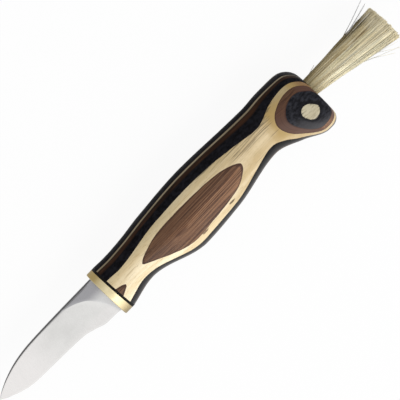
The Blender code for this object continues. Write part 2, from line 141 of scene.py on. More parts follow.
# How finely the skins are divided
HANDLE_POINTS = 192
HANDLE_RINGS = 250
BUTT_RINGS = 28
BORE_POINTS = 96
FLAT_COLUMNS = 6
PLUNGE_COLUMNS = 14
GROUND_COLUMNS = 100
BRISTLE_SIDES = 3
BRISTLE_CUTS = 4
PACKED_CUTS = 11

# Bristles that start in the bore, bristles that show only their ends, and the clumps that they fall into
BRISTLES = 2400
INNER_ENDS = 2400
INNER_ENDS_FROM = 0.80
CLUMPS = 420
# Less than a half crowds the clumps towards the outside of the tuft
OUTWARDS = 0.36
# Outer bristles start from this share of the tuft's radius
OUTER_FROM = 0.975
# Share of the tuft's width that is packed solid, and the ridges round it
PACKED_SHARE = 0.965
PACKED_RIDGES = 480
# Tones of the clumps, each up to a share of them
clump_tones = ((0.17, 0.0), (0.27, 0.26), (0.55, 0.55), (1.0, 0.95))
ridge_tones = (0.1, 0.4, 0.6, 0.8, 0.95)

# A knot and a small notch in the left blond veneer
KNOT = (0.0617, -0.0071, 0.0080)
NOTCH = (0.0459, -0.0078, 0.0080)

# The photograph's view: a little from above the spine, turned so that the knife runs up to the right
VIEW_LEAN = math.radians(23.6)
VIEW_ROLL = math.radians(45.79)
VIEW_DISTANCE = 1.5
VIEW_WIDTH = 0.160
VIEW_MIDDLE = 0.0532
SENSOR_WIDTH = 36

# The soft box on the belly's side, by its angle from straight above, and the gap over the table
LAMP_ANGLE = math.radians(52)
LAMP_DISTANCE = 1.3
LAMP_LENGTH = 3.0
LAMP_WIDTH = 1.8
LAMP_POWER = 25.0
TABLE_GAP = 0.0002
TABLE_SIZE = 6

# Faces that follow from the sizes
FRONT = BOLSTER_THICKNESS + LINER_THICKNESS
BUTT = FRONT + HANDLE_LENGTH
LINE_FACE = CORE_VENEER / 2
BROWN_FACE = LINE_FACE + LINE_VENEER
BLACK_FACE = BROWN_FACE + BROWN_VENEER
BLOND_FACE = BLACK_FACE + BLACK_VENEER
OUTER_BROWN_FACE = BLOND_FACE + BLOND_VENEER
OUTER_BLACK_FACE = OUTER_BROWN_FACE + OUTER_BROWN_VENEER
CAP_FACE = OUTER_BLACK_FACE + OUTER_BLACK_VENEER
POCKET_LENGTH = BUTT - BORE_DEPTH - POCKET_WALL
TANG_LENGTH = POCKET_LENGTH - POCKET_END_ROOM


def curve_through(*points):
    """A smooth curve through the points that never swings past them, as a function of the place."""
    places = [place for place, _ in points]
    values = [value for _, value in points]
    widths = [b - a for a, b in zip(places, places[1:])]
    slopes = [(b - a) / width for a, b, width in zip(values, values[1:], widths)]
    tangents = [slopes[0]]
    for before, after in zip(slopes, slopes[1:]):
        turns = before * after <= 0
        tangents.append(0.0 if turns else 2 * before * after / (before + after))
    tangents.append(slopes[-1])

    def value_at(place):
        place = min(max(place, places[0]), places[-1])
        span = max(i for i in range(len(widths)) if places[i] <= place)
        width = widths[span]
        t = (place - places[span]) / width
        rise = (3 - 2 * t) * t * t
        bend = t * (1 - t) * width * ((1 - t) * tangents[span] - t * tangents[span + 1])
        return values[span] * (1 - rise) + values[span + 1] * rise + bend

    return value_at


# Shape of the handle and the blade, by shares of their length; a power says how square a section is
DEPTH_POWER = 2.29
NOSE_END = 0.09
BELLY_END = 0.76
KEEN_FROM = 0.965
spine_line = curve_through((0.0, 0.381), (0.044, 0.375), (0.125, 0.389), (0.246, 0.438), (0.449, 0.486),
                           (0.781, 0.444), (0.832, 0.453), (0.925, 0.440), (1.0, 0.380))
belly_line = curve_through((0.0, 0.340), (0.125, 0.251), (0.347, 0.463), (0.519, 0.421), (0.746, 0.281),
                           (0.85, 0.415), (0.944, 0.570), (1.0, 0.574))
spine_power = curve_through((0.0, 1.68), (0.8, 1.68), (0.934, 1.52), (1.0, 1.52))
belly_power = curve_through((0.0, 1.7), (0.347, 1.75), (0.746, 2.4), (0.934, 1.75), (1.0, 1.75))
half_thickness = curve_through(
    (0.0, OUTER_BROWN_FACE + NOSE_COVER), (0.078, OUTER_BROWN_FACE - FRONT_NECK_CUT),
    (0.302, OUTER_BLACK_FACE - BELLY_CUT), (0.539, OUTER_BROWN_FACE + FLANK_COVER),
    (0.641, OUTER_BROWN_FACE - FLANK_END_CUT), (0.758, OUTER_BROWN_FACE - REAR_NECK_CUT),
    (0.803, OUTER_BROWN_FACE - SHOULDER_FOOT_CUT), (0.853, OUTER_BROWN_FACE + SHOULDER_COVER),
    (0.934, CAP_FACE + CAP_COVER), (1.0, CAP_FACE - BUTT_CUT))
blade_spine = curve_through((0.0, 1.0), (0.2, 0.998), (0.35, 0.99), (0.51, 0.968), (0.60, 0.94),
                            (0.68, 0.878), (0.76, 0.765), (0.85, 0.56), (0.93, 0.30), (1.0, 0.0))
blade_edge = curve_through((0.0, 1.0), (0.13, 0.985), (0.21, 0.83), (0.30, 0.685), (0.42, 0.635),
                           (0.68, 0.59), (0.77, 0.55), (0.85, 0.43), (0.93, 0.23), (1.0, 0.0))
plunge_line = curve_through((0.0, 1.0), (0.12, 0.67), (0.26, 0.42), (0.43, 0.28), (0.7, 0.13), (1.0, 0.02))
blade_taper = curve_through((0.0, 1.0), (0.5, 0.92), (0.8, 0.62), (1.0, 0.0))


# Working a piece by hand

def take(piece):
    """Makes the piece the only one selected."""
    bpy.ops.object.select_all(action="DESELECT")
    piece.select_set(True)
    bpy.context.view_layer.objects.active = piece


def open_piece(piece):
    """Opens the piece for editing, by its edges."""
    take(piece)
    bpy.ops.object.mode_set(mode="EDIT")
    bpy.ops.mesh.select_mode(type="EDGE")


def close_piece():
    bpy.ops.object.mode_set(mode="OBJECT")


def pick(piece, kind, wanted):
    """Selects only the edges or faces that are wanted, in the open piece."""
    bpy.ops.mesh.select_all(action="DESELECT")
    bpy.ops.mesh.select_mode(type=kind)
    bm = bmesh.from_edit_mesh(piece.data)
    parts = bm.edges if kind == "EDGE" else bm.faces
    for part in parts:
        if wanted(part):
            part.select_set(True)
    bmesh.update_edit_mesh(piece.data)


def crisp_ends(piece):
    """Keeps the edges of a bar's two end faces crisp."""
    pick(piece, "EDGE", lambda edge: any(len(face.verts) > 4 for face in edge.link_faces))
    bpy.ops.mesh.mark_sharp()


def named(name, piece=None):
    """Names a piece and its mesh; without a piece, the one that was made last."""
    piece = piece or bpy.context.object
    piece.name = name
    piece.data.name = name
    return piece


def link(piece):
    bpy.context.scene.collection.objects.link(piece)
    return piece


def copy_of(piece, name):
    """A copy with a mesh of its own."""
    twin = piece.copy()
    twin.data = piece.data.copy()
    return named(name, link(twin))


def discard(piece):
    bpy.data.objects.remove(piece, do_unlink=True)


def carve_away(piece, cutter):
    """Cuts the cutter's shape out of the piece for good, and puts the cutter away."""
    take(piece)
    bpy.ops.object.modifier_add(type="BOOLEAN")
    modifier = piece.modifiers[-1]
    modifier.operation = "DIFFERENCE"
    modifier.solver = "EXACT"
    modifier.object = cutter
    bpy.ops.object.modifier_apply(modifier=modifier.name)
    discard(cutter)


def finish_piece(piece, finish, slot, *nodes):
    """Sets a finished piece over the frame, with its place in its mesh, its finish and its nodes."""
    take(piece)
    piece.location = AXIS
    bpy.ops.object.transform_apply(location=True, rotation=True, scale=True)
    bpy.ops.object.shade_smooth()
    piece.data.materials.clear()
    piece.data.materials.append(finish)
    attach(piece, "root")
    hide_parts(*nodes)


def ring_of(vert):
    """The ring of a bar's vertex, as a share of its length, and its turn round the bar."""
    return vert.co.x + 0.5, math.atan2(vert.co.z, vert.co.y)


def add_round_bar(points, cuts):
    """A cylinder of unit size along X, with its long edges cut into rings."""
    bpy.ops.mesh.primitive_cylinder_add(vertices=points, radius=1, depth=1, end_fill_type="NGON",
                                        rotation=(0, math.pi / 2, 0))
    bar = bpy.context.object
    bpy.ops.object.transform_apply(rotation=True)
    if cuts:
        open_piece(bar)
        pick(bar, "EDGE", lambda edge: abs(edge.verts[0].co.x - edge.verts[1].co.x) > 0.5)
        bpy.ops.mesh.subdivide(number_cuts=cuts)
        close_piece()
    return bar


def measure_bar(points, cuts):
    """The ring and turn of each vertex of a round bar, and its faces, to be laid along other ways."""
    bar = add_round_bar(points, cuts)
    shape = [ring_of(vert) for vert in bar.data.vertices]
    faces = [tuple(face.vertices) for face in bar.data.polygons]
    discard(bar)
    return shape, faces


# The carved handle

def power_round(value, power):
    """Keeps the sign of a sine or cosine and bends its size, for a section between oval and square."""
    return math.copysign(abs(value) ** (2 / power), value)


def drawn_in(x, radius):
    """How far a rounded corner of the butt has drawn the outline in at x."""
    reach = min(max(x - BUTT + radius, 0.0) / radius, 1.0)
    return radius * (1 - math.sqrt(1 - reach * reach))


def leaned(x, y):
    """The place along the knife of a face that leans with the bolster's back, at the height y."""
    front_height = (spine_line(0.0) + belly_line(0.0)) * HANDLE_WIDTH
    return x - BOLSTER_FLARE * y / front_height


def section(x, turns):
    """Points of the handle's outline at x, one for each turn round it."""
    share = max(x - FRONT, 0.0) / HANDLE_LENGTH
    top = spine_line(share) * HANDLE_WIDTH - drawn_in(x, BUTT_SPINE_ROUND)
    bottom = -belly_line(share) * HANDLE_WIDTH + drawn_in(x, BUTT_BELLY_ROUND)
    depth = half_thickness(share) - drawn_in(x, BUTT_SIDE_ROUND)
    middle = (top + bottom) / 2
    reach = (top - bottom) / 2
    spine, belly = spine_power(share), belly_power(share)
    points = []
    for turn in turns:
        across = math.cos(turn)
        power = spine if across > 0 else belly
        y = middle + reach * power_round(across, power)
        points.append((y, depth * power_round(math.sin(turn), DEPTH_POWER)))
    return points


def sanding(place):
    """The slight waves that sanding by hand leaves, a few hundredths of a millimetre deep."""
    long_wave = noise.noise(Vector((place.x * 110, place.y * 150, place.z * 150)))
    short_wave = noise.noise(Vector((place.x * 330, place.y * 420, place.z * 420 + 7)))
    return LONG_SANDING_WAVE * long_wave + SHORT_SANDING_WAVE * short_wave


def carve_block():
    """The whole handle in one block, carved, with the bores for the tang and the brush."""
    block = named("handle_block", add_round_bar(HANDLE_POINTS, HANDLE_RINGS - 1))
    straight_end = BUTT - BUTT_SPINE_ROUND
    straight_rings = HANDLE_RINGS - BUTT_RINGS
    rings = {}
    for vert in block.data.vertices:
        share, turn = ring_of(vert)
        rings.setdefault(round(share * HANDLE_RINGS), []).append((turn, vert))
    for ring, members in rings.items():
        if ring <= straight_rings:
            x = FRONT + (straight_end - FRONT) * ring / straight_rings
        else:
            x = straight_end + BUTT_SPINE_ROUND * math.sin(math.pi / 2 * (ring - straight_rings) / BUTT_RINGS)
        for (y, z), (turn, vert) in zip(section(x, [turn for turn, _ in members]), members):
            place = Vector((leaned(x, y) if ring == 0 else x, y, z))
            if 0 < ring < HANDLE_RINGS:
                # The handle is flatter than it is wide, so its skin faces further out sideways
                outward = Vector((0.0, y, z * 1.6)).normalized()
                place += outward * sanding(place)
            vert.co = place
    open_piece(block)
    crisp_ends(block)
    close_piece()

    bpy.ops.mesh.primitive_cylinder_add(
        vertices=BORE_POINTS, radius=BORE_DIAMETER / 2, depth=BORE_DEPTH + CUT_OVERRUN,
        location=(BUTT + (CUT_OVERRUN - BORE_DEPTH) / 2, 0, 0), rotation=(0, math.pi / 2, 0))
    carve_away(block, named("brush_bore"))
    bpy.ops.mesh.primitive_cube_add(
        size=1, location=((FRONT - CUT_OVERRUN + POCKET_LENGTH) / 2, 0, 0),
        scale=(POCKET_LENGTH - FRONT + CUT_OVERRUN, TANG_WIDTH + 2 * BED_THICKNESS,
               BLADE_STOCK + 2 * BED_THICKNESS))
    carve_away(block, named("tang_pocket"))
    return block


def saw(axis, level, outward):
    """Saws off all that is beyond the level and closes the open piece; the sawn edge stays crisp."""
    point = Vector()
    point[axis] = level
    normal = Vector()
    normal[axis] = outward
    bpy.ops.mesh.select_all(action="SELECT")
    bpy.ops.mesh.bisect(plane_co=point, plane_no=normal, use_fill=True, clear_outer=True,
                        threshold=MERGE_DISTANCE)
    bpy.ops.mesh.mark_sharp()


def slice_veneer(block, name, side, inner, outer, first=None, last=None):
    """One veneer of the block: what lies between two glue faces, and between two ends where it has them."""
    veneer = copy_of(block, name)
    open_piece(veneer)
    saw(2, side * inner, -side)
    if outer:
        saw(2, side * outer, side)
    if first:
        saw(0, first, -1)
    if last:
        saw(0, last, 1)
    close_piece()
    return veneer


def make_handle():
    block = carve_block()
    core = slice_veneer(block, "core_veneer_carved", 1, -LINE_FACE, LINE_FACE)
    finish_piece(core, black_wood, "black_wood", "core_veneer")
    nose_end = FRONT + HANDLE_LENGTH * NOSE_END
    belly_end = FRONT + HANDLE_LENGTH * BELLY_END
    veneers = (
        ("pale_line", pale_line_wood, "pale_line_wood", LINE_FACE, BROWN_FACE),
        ("brown_veneer", brown_wood, "brown_wood", BROWN_FACE, BLACK_FACE),
        ("black_veneer", black_wood, "black_wood", BLACK_FACE, BLOND_FACE),
        ("blond_veneer", blond_wood, "blond_wood", BLOND_FACE, OUTER_BROWN_FACE),
        ("brown_nose", outer_brown_wood, "outer_brown_wood", OUTER_BROWN_FACE, None, None, nose_end),
        ("brown_belly", outer_brown_wood, "outer_brown_wood", OUTER_BROWN_FACE, None, nose_end, belly_end),
        ("brown_pommel", outer_brown_wood, "outer_brown_wood", OUTER_BROWN_FACE, OUTER_BLACK_FACE, belly_end),
        ("black_pommel", outer_black_wood, "black_wood", OUTER_BLACK_FACE, CAP_FACE, belly_end),
        ("pommel_cap", cap_wood, "cap_wood", CAP_FACE, None, belly_end),
    )
    for word, side in (("left", 1), ("right", -1)):
        for part, finish, slot, *faces in veneers:
            node = f"{word}_{part}"
            finish_piece(slice_veneer(block, node + "_carved", side, *faces), finish, slot, node)
    discard(block)


# Bolster and liner

def make_plate(name, front, back, lean_front, soft_edge):
    """A plate in the outline of the handle's front, slotted for the tang."""
    plate = named(name, add_round_bar(HANDLE_POINTS, 0))
    turns = [ring_of(vert)[1] for vert in plate.data.vertices]
    for vert, (y, z) in zip(plate.data.vertices, section(0.0, turns)):
        if vert.co.x < 0:
            vert.co = (leaned(front, y) if lean_front else front, y, z)
        else:
            vert.co = (leaned(back, y), y, z)
    open_piece(plate)
    if soft_edge:
        pick(plate, "EDGE", lambda edge: max(vert.co.x for vert in edge.verts) < (front + back) / 4)
        bpy.ops.mesh.bevel(offset=soft_edge, segments=5, affect="EDGES")
    crisp_ends(plate)
    close_piece()
    bpy.ops.mesh.primitive_cube_add(size=1, scale=(FRONT * 3, TANG_WIDTH + 2 * TANG_CLEARANCE,
                                                   BLADE_STOCK + 2 * TANG_CLEARANCE))
    carve_away(plate, named("tang_slot"))
    return plate


def make_bolster_and_liner():
    bolster = make_plate("bolster_turned", 0.0, BOLSTER_THICKNESS, False, BOLSTER_ROUND)
    finish_piece(bolster, brass, "pale_brass", "bolster")
    liner = make_plate("black_liner_cut", BOLSTER_THICKNESS, FRONT, True, 0.0)
    finish_piece(liner, fibre, "black_fibre", "black_liner")


# Blade

def blade_rows():
    """Places across the blade, from spine to edge, with rows at the tang's sides and the keen edge."""
    width = SPINE_HEIGHT + HEEL_DEPTH
    half_tang = TANG_WIDTH / 2
    stops = (0.0, (SPINE_HEIGHT - half_tang) / width, (SPINE_HEIGHT + half_tang) / width, KEEN_FROM)
    rows = []
    for start, end, steps in zip(stops, stops[1:], (9, 11, 6)):
        rows += [start + (end - start) * step / steps for step in range(steps)]
    return rows + [KEEN_FROM, 1.0]


def blade_half(place, across, ground):
    """Half the blade's thickness: a flat grind from the spine to the edge, which starts in a hollow ramp."""
    edge = EDGE_THICKNESS / 2
    spine = edge + (BLADE_STOCK / 2 - edge) * blade_taper(place)
    wedge = spine + (edge - spine) * across if across < 1 else KEEN_THICKNESS / 2
    ramp = max(1 - ground / PLUNGE_RUN, 0.0) ** 2
    half = wedge + (BLADE_STOCK / 2 - wedge) * ramp
    # The last sixtieth of the blade comes to a point
    near_tip = min((1 - place) * 60, 1.0)
    return KEEN_THICKNESS / 2 + (half - KEEN_THICKNESS / 2) * near_tip


def blade_place(column, across):
    """The place on the left side for a column from the bolster to the tip and a share across."""
    lead = plunge_line(across) * PLUNGE_LENGTH
    if column <= FLAT_COLUMNS:
        ground = 0.0
        along = lead * column / FLAT_COLUMNS
    else:
        column -= FLAT_COLUMNS
        if column <= PLUNGE_COLUMNS:
            ground = PLUNGE_RUN * column / PLUNGE_COLUMNS
        else:
            ground = PLUNGE_RUN + (BLADE_LENGTH - PLUNGE_RUN) * ((column - PLUNGE_COLUMNS) / GROUND_COLUMNS)
        along = lead + ground * (1 - lead / BLADE_LENGTH)
    place = along / BLADE_LENGTH
    top = TIP_HEIGHT + (SPINE_HEIGHT - TIP_HEIGHT) * blade_spine(place)
    bottom = TIP_HEIGHT - (HEEL_DEPTH + TIP_HEIGHT) * blade_edge(place)
    return Vector((-along, top + (bottom - top) * across, blade_half(place, across, ground)))


def on_blade_spine(edge):
    """True for the long edges between the spine's narrow face and a side of the blade."""
    strip = [face for face in edge.link_faces if abs(face.normal.z) < 0.3]
    return len(strip) == 1 and all(vert.co.x < -1e-6 and vert.co.y > TIP_HEIGHT for vert in edge.verts)


def merge_all():
    bpy.ops.mesh.select_all(action="SELECT")
    bpy.ops.mesh.remove_doubles(threshold=MERGE_DISTANCE)
    bpy.ops.mesh.select_all(action="SELECT")


def draw_out(length):
    bpy.ops.mesh.extrude_region_move(TRANSFORM_OT_translate={"value": (length, 0, 0)})


def make_blade():
    """One ground side from a grid, mirrored, bridged along the spine and the edge, and the tang drawn out."""
    rows = blade_rows()
    columns = FLAT_COLUMNS + PLUNGE_COLUMNS + GROUND_COLUMNS
    bpy.ops.mesh.primitive_grid_add(x_subdivisions=columns, y_subdivisions=len(rows) - 1, size=1)
    blade = named("blade_ground")
    for vert in blade.data.vertices:
        column = round((vert.co.x + 0.5) * columns)
        row = round((vert.co.y + 0.5) * (len(rows) - 1))
        vert.co = blade_place(column, rows[row])
    open_piece(blade)
    merge_all()
    bpy.ops.mesh.duplicate()
    bpy.ops.transform.resize(value=(1, 1, -1), center_override=(0, 0, 0))
    pick(blade, "EDGE", lambda edge: edge.is_boundary)
    bpy.ops.mesh.bridge_edge_loops()
    merge_all()
    bpy.ops.mesh.normals_make_consistent(inside=False)

    half_tang = TANG_WIDTH / 2 + GLUE_LINE / 10
    pick(blade, "FACE", lambda face: all(
        vert.co.x > -MERGE_DISTANCE and abs(vert.co.y) < half_tang for vert in face.verts))
    draw_out(TANG_LENGTH - TANG_POINT)
    draw_out(TANG_POINT)
    bpy.ops.transform.resize(value=(1, TANG_POINT_SHARE, TANG_POINT_SHARE), center_override=(0, 0, 0))
    pick(blade, "EDGE", on_blade_spine)
    bpy.ops.mesh.bevel(offset=SPINE_EASE, segments=2, affect="EDGES", clamp_overlap=True)
    crisp = math.radians(24)
    pick(blade, "EDGE", lambda edge: len(edge.link_faces) == 2 and edge.calc_face_angle(0.0) > crisp)
    bpy.ops.mesh.mark_sharp()
    close_piece()
    blade.location.x = -GLUE_LINE
    bpy.ops.object.transform_apply(location=True)
    finish_piece(blade, steel, "steel", "blade")


# Brush

Clump = namedtuple("Clump", "middle drift swing phase shortfall tone")
Way = namedtuple("Way", "place_at tone height stoutness twist")


def opened(x):
    """How far out of the handle x is, as a share of the bristles, and how far the tuft has opened there."""
    out = max(x - BUTT, 0.0) / BRISTLE_LENGTH
    return out, 1 + (TUFT_WIDTH / ROOT_DIAMETER - 1) * out


def on_circle(reach, turn):
    return Vector((reach * math.cos(turn), reach * math.sin(turn)))


def scattered(chance, size):
    return Vector((chance.gauss(0, size), chance.gauss(0, size)))


def gather_clumps(chance):
    """The clumps that natural bristles fall into, spread round the tuft's root and crowded outwards."""
    radius = ROOT_DIAMETER / 2
    golden = math.pi * (3 - math.sqrt(5))
    clumps = []
    for i in range(CLUMPS):
        reach = radius * 1.01 * ((i + 0.5) / CLUMPS) ** OUTWARDS
        middle = on_circle(reach, i * golden) + scattered(chance, CLUMP_SCATTER)
        drift = scattered(chance, CLUMP_DRIFT)
        # A few clumps lean away further than the rest
        if chance.random() < 0.08:
            drift *= 3
        kind = chance.random()
        tone = next(tone for share, tone in clump_tones if kind <= share)
        swing = chance.uniform(0.0, CLUMP_SWING)
        phase = chance.uniform(0.0, 6.28)
        # Clumps at the spine's and the belly's side end a little sooner
        shortfall = chance.uniform(0.0, 0.018) + 0.010 * (middle.x / radius) ** 2
        clumps.append(Clump(middle, drift, swing, phase, shortfall, tone))
    return clumps


def bristle_path(chance, root, clump, first):
    """The way of a bristle: out of the bore, opening with the tuft, pulled towards its clump."""
    pull = 0.5 + 0.25 * chance.random()
    # A bristle on the outside stays there as it is pulled
    middle = clump.middle if first else clump.middle.normalized() * root.length
    shortfall = clump.shortfall + chance.uniform(0.0, 0.010)
    # A few are broken short, and a few splay out of line
    if chance.random() < 0.03:
        shortfall += chance.uniform(0.02, 0.25)
    length = BRISTLE_LENGTH * (1 - shortfall)
    wave = chance.uniform(0.0, BRISTLE_WAVE)
    phase = chance.uniform(0.0, 2 * math.pi)
    splay = scattered(chance, BRISTLE_SPLAY)
    if chance.random() < 0.04:
        splay *= 5

    def place_at(share):
        x = BUTT - BRISTLE_START + (length + BRISTLE_START) * (first + (1 - first) * share)
        out, spread = opened(x)
        bound = root.lerp(middle, pull * min(out * 2.4, 1.0))
        ripple = wave * math.sin(phase + out * 9)
        swing = clump.swing * math.sin(clump.phase + out * 5) * min(out * 3, 1.0)
        y = bound.x * spread - TUFT_DROOP * out + (splay.x + clump.drift.x) * out + ripple + swing
        z = bound.y * spread + (splay.y + clump.drift.y) * out - ripple
        return Vector((x, y, z))

    return place_at


def bristle_ways(chance, clumps):
    """Bristles round the outside of the tuft, fewer on the belly's side, and the ends of those inside."""
    radius = ROOT_DIAMETER / 2
    ways = []
    for i in range(BRISTLES + INNER_ENDS):
        outer = i < BRISTLES
        reach = radius * (chance.uniform(OUTER_FROM, 1.0) if outer else chance.random() ** 0.5)
        turn = chance.uniform(0.0, 2 * math.pi)
        # One in five of the belly's bristles lies on the spine's side instead
        if outer and math.cos(turn) < -0.2 and chance.random() < 0.2:
            turn = chance.uniform(-0.6, 0.6) * math.pi
        root = on_circle(reach, turn)
        clump = min(clumps, key=lambda near: (near.middle - root).length)
        tone = clump.tone + chance.uniform(-0.05, 0.05)
        path = bristle_path(chance, root, clump, 0.0 if outer else INNER_ENDS_FROM)
        twist = turn + math.pi + chance.uniform(-0.3, 0.3)
        ways.append(Way(path, tone, 0.5 + 0.5 * clump.middle.x / radius, 1.0, twist))
    return ways


def stray_path(end, leaves, root):
    """A stray that leaves the tuft part of the way along and ends at a place of its own."""
    last = (end.x - BUTT) / BRISTLE_LENGTH

    def place_at(share):
        x = BUTT - STRAY_START + (end.x - BUTT + STRAY_START) * share
        out, spread = opened(x)
        in_tuft = Vector((x, root.x * spread - TUFT_DROOP * out, root.y * spread))
        lift = max(out - leaves, 0.0) / (last - leaves)
        return in_tuft.lerp(Vector((x, end.y, end.z)), lift ** 1.2)

    return place_at


def stray_ways(chance):
    """The few bristles that stand away from the tuft: grey on the spine's side, straw on the belly's."""
    radius = ROOT_DIAMETER / 2
    top = Vector((radius * 0.97, radius * 0.15))
    low = Vector((-radius * 0.93, radius * 0.1))
    ways = []
    for length, height, depth, leaves, stoutness in (
            (0.0390, 0.0109, 0.0011, 0.47, 2.4), (0.0391, 0.0086, 0.0012, 0.52, 2.8),
            (0.0345, 0.0068, 0.0016, 0.52, 1.0), (0.0376, 0.0056, 0.0040, 0.60, 0.9),
            (0.0074, 0.0058, 0.0010, 0.0, 1.2)):
        path = stray_path(Vector((BUTT + length, height, depth)), leaves, top)
        ways.append(Way(path, -1.0, 1.0, stoutness, 0.0))
    for height, depth, leaves in ((-0.0160, 0.0010, 0.55), (-0.0148, -0.0026, 0.6), (-0.0141, 0.0040, 0.5),
                                  (-0.0153, 0.0024, 0.66), (-0.0136, -0.0050, 0.6)):
        length = 0.037 * chance.uniform(0.9, 1.03)
        path = stray_path(Vector((BUTT + length, height, depth)), leaves, low)
        ways.append(Way(path, 0.9, 0.0, 0.9, 0.0))
    return ways


def packed_ridges(chance):
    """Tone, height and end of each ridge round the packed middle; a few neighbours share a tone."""
    ridges = []
    while len(ridges) < PACKED_RIDGES:
        tone = chance.choice(ridge_tones)
        end = chance.uniform(0.915, 0.95)
        for _ in range(chance.choice((1, 2, 3, 4, 6))):
            ridges.append((tone + chance.uniform(-0.1, 0.1), chance.uniform(0.985, 1.01),
                           end + chance.uniform(-0.01, 0.01)))
    return ridges


def make_brush():
    """The tuft: one bristle modelled once and laid along thousands of ways, round a packed bundle."""
    chance = random.Random(31)
    points = []
    skins = []

    def add_skin(faces):
        start = len(points)
        skins.extend(tuple(start + i for i in face) for face in faces)

    shape, faces = measure_bar(BRISTLE_SIDES, BRISTLE_CUTS)
    for way in bristle_ways(chance, gather_clumps(chance)) + stray_ways(chance):
        add_skin(faces)
        thickness = BRISTLE_THICKNESS / 2 * chance.uniform(0.75, 1.15) * way.stoutness
        for share, turn in shape:
            # A bristle thins over its outer half, and the two stout strays thicken outwards
            taper = 1.0 if share < 0.5 else 1.0 - 0.35 * (share - 0.5) / 0.5
            if way.stoutness > 2:
                taper = 0.3 + 0.7 * min(share / 0.7, 1.0)
            round_it = on_circle(thickness * taper, turn + way.twist)
            points.append((way.place_at(share) + Vector((0.0, *round_it)), way.tone, way.height))

    shape, faces = measure_bar(PACKED_RIDGES, PACKED_CUTS)
    add_skin(faces)
    ridges = packed_ridges(chance)
    for share, turn in shape:
        tone, height, end = ridges[round(turn / (2 * math.pi) * PACKED_RIDGES) % PACKED_RIDGES]
        x = BUTT - BRISTLE_START + (BRISTLE_LENGTH * end + BRISTLE_START) * share
        out, spread = opened(x)
        y, z = on_circle(ROOT_DIAMETER / 2 * PACKED_SHARE * spread * height, turn)
        points.append((Vector((x, y - TUFT_DROOP * out, z)), tone, 0.5 + 0.5 * math.cos(turn)))

    places, tones, heights = zip(*points)
    mesh = bpy.data.meshes.new("brush_tuft_bristles")
    mesh.from_pydata(places, [], skins)
    for label, values in (("tone", tones), ("height", heights)):
        mesh.attributes.new(label, "FLOAT", "POINT").data.foreach_set("value", values)
    tuft = link(bpy.data.objects.new("brush_tuft_bristles", mesh))
    finish_piece(tuft, bristles, "bristle", "brush_tuft")


# Short ways to add the nodes that the finishes need

class Nodes:
    """The nodes of a material, a group or the world. An input is a value, or the socket that feeds it."""

    def __init__(self, tree):
        self.tree = tree

    def feed(self, socket, value):
        if isinstance(value, bpy.types.NodeSocket):
            self.tree.links.new(value, socket)
        elif value is not None:
            socket.default_value = value

    def feed_all(self, sockets, values):
        """Feeds sockets by their names, which are written with _ for a space."""
        for label, value in values.items():
            self.feed(sockets[label.replace("_", " ")], value)

    def add(self, kind, *inputs, **settings):
        node = self.tree.nodes.new("ShaderNode" + kind)
        for name, value in settings.items():
            setattr(node, name, value)
        for socket, value in zip(node.inputs, inputs):
            self.feed(socket, value)
        return node

    def use(self, group, **values):
        """The outputs of a node group that is given these values."""
        node = self.add("Group", node_tree=group)
        self.feed_all(node.inputs, values)
        return node.outputs

    def maths(self, operation, *values, clamp=False):
        return self.add("Math", *values, operation=operation, use_clamp=clamp).outputs[0]

    def times(self, first, second):
        return self.maths("MULTIPLY", first, second)

    def scaled(self, value, factor, plus):
        """The value times a factor, plus a fixed amount."""
        return self.maths("MULTIPLY_ADD", value, factor, plus)

    def vector(self, operation, *inputs):
        return self.add("VectorMath", *inputs, operation=operation).outputs[0]

    def joined(self, x, y, z):
        return self.add("CombineXYZ", x, y, z).outputs[0]

    def parts(self, vector):
        return self.add("SeparateXYZ", vector).outputs

    def spread(self, value, low, high, to_low=0.0, to_high=1.0):
        """Maps a value smoothly from one range to another and holds it there."""
        node = self.add("MapRange", value, low, high, to_low, to_high, interpolation_type="SMOOTHSTEP")
        return node.outputs[0]

    def band(self, value, start, full, fading, end):
        """One from full to fading, and nothing before the start and after the end."""
        return self.times(self.spread(value, start, full), self.spread(value, end, fading))

    def blend(self, mask, first, second):
        """The first colour, and the second one where the mask is one."""
        node = self.add("Mix", mask, data_type="RGBA")
        for socket, colour in zip(node.inputs[6:8], (first, second)):
            self.feed(socket, (*colour, 1.0) if isinstance(colour, tuple) else colour)
        return node.outputs[2]

    def place(self):
        """Object coordinates, moved so that they start at the front of the bolster, on the axis."""
        return self.vector("SUBTRACT", self.add("TexCoord").outputs["Object"], tuple(AXIS))

    def normal(self):
        return self.add("NewGeometry").outputs["Normal"]

    def spinewards(self):
        """One where the surface faces the spine's side, and minus one where it faces the belly's."""
        return self.parts(self.normal())[1]

    def noise(self, vector, detail, rough):
        node = self.add("TexNoise")
        self.feed_all(node.inputs, {"Vector": vector, "Scale": 1.0, "Detail": detail, "Roughness": rough})
        return node.outputs["Fac"]

    def pattern(self, x, y, z, shift, detail=2.0, rough=0.6):
        """Noise over the knife, scaled three ways and moved on, so that two patterns don't agree."""
        scaled = self.vector("MULTIPLY", self.place(), (x, y, z))
        moved = self.vector("ADD", scaled, (shift, shift * 1.7, shift * 2.3))
        return self.noise(moved, detail, rough)


class Group(Nodes):
    """A node group in the making, with the numbers that it is given and those that it gives out."""

    def __init__(self, name, given, results):
        super().__init__(bpy.data.node_groups.new(name, "ShaderNodeTree"))
        for label, value in given.items():
            socket = self.tree.interface.new_socket(label, in_out="INPUT", socket_type="NodeSocketFloat")
            socket.default_value = value
        for label in results:
            self.tree.interface.new_socket(label, in_out="OUTPUT", socket_type="NodeSocketFloat")
        self.given = self.tree.nodes.new("NodeGroupInput").outputs
        self.results = self.tree.nodes.new("NodeGroupOutput").inputs

    def give(self, **values):
        self.feed_all(self.results, values)
        return self.tree


